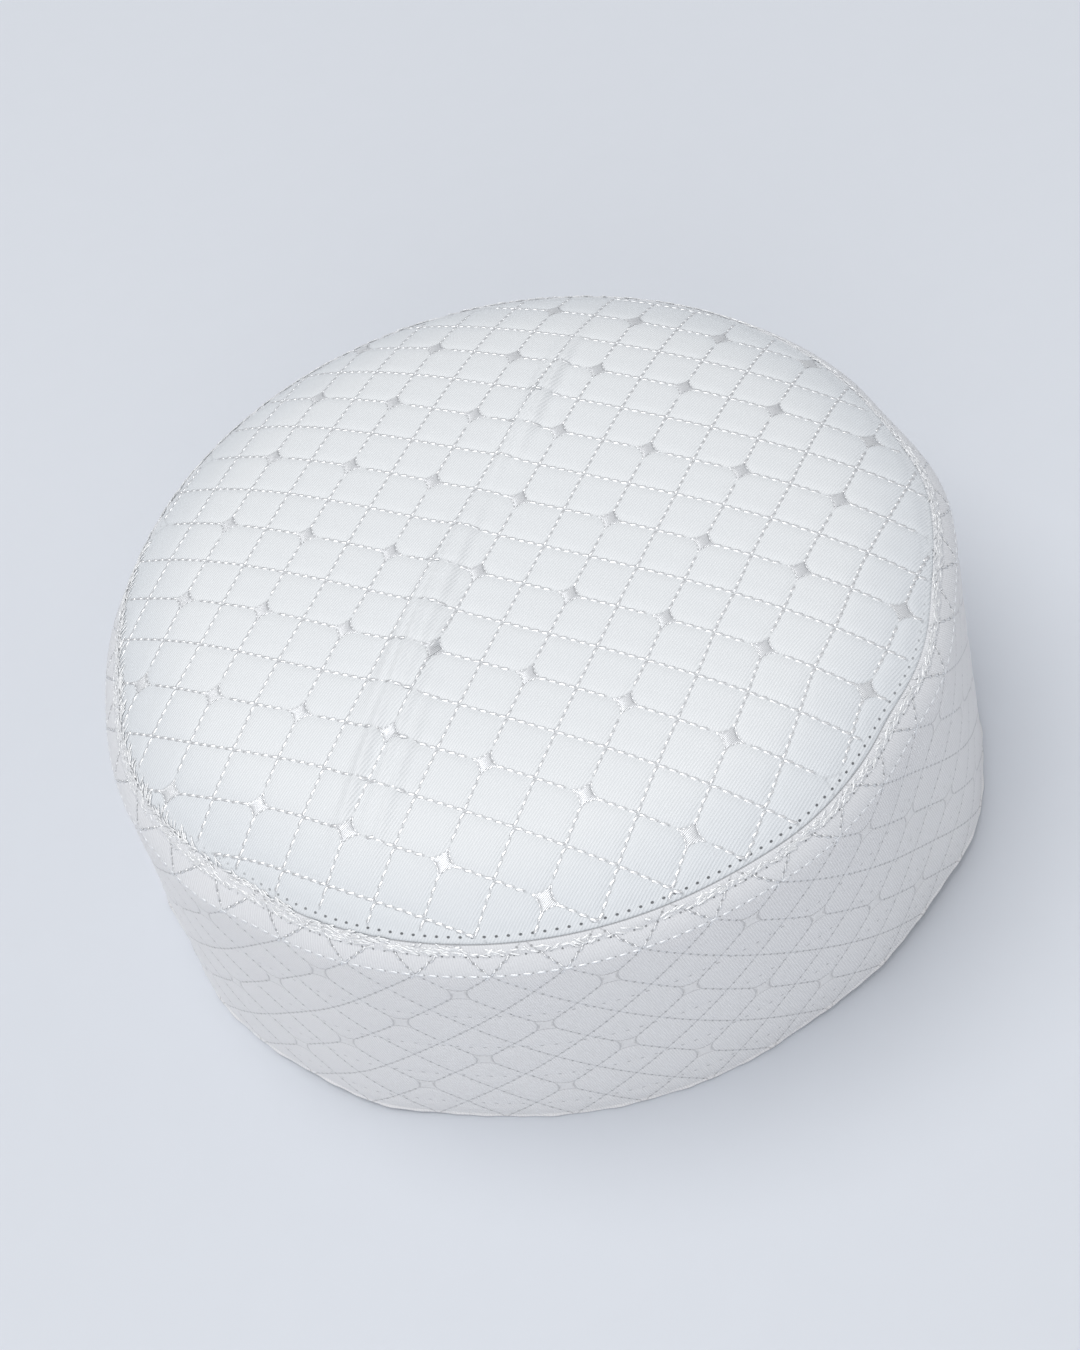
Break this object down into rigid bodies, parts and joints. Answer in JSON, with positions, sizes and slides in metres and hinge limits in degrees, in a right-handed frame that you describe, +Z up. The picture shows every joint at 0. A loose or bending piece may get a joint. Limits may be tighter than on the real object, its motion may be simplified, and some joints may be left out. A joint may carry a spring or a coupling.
{
  "type": "prayer cap",
  "caption": "Round brimless prayer cap of white quilted cloth: a softly domed crown panel sewn to an upright side band, open below for the head.",
  "frame": {"origin": "middle of the cap's box, on the plane that its rim rests on", "axes": "+Z up from the rim to the crown, -Y towards the front that the picture shows, +X to the viewer's right"},
  "size_m": [0.1922, 0.1834, 0.0796],
  "materials": {
    "crown_cloth": "white satin twill, quilted in squares",
    "band_cloth": "white satin twill, quilted in squares on their corners"
  },
  "bodies": {
    "root": {"crown_panel": "crown_cloth", "side_band": "band_cloth"}
  },
  "joints": []
}
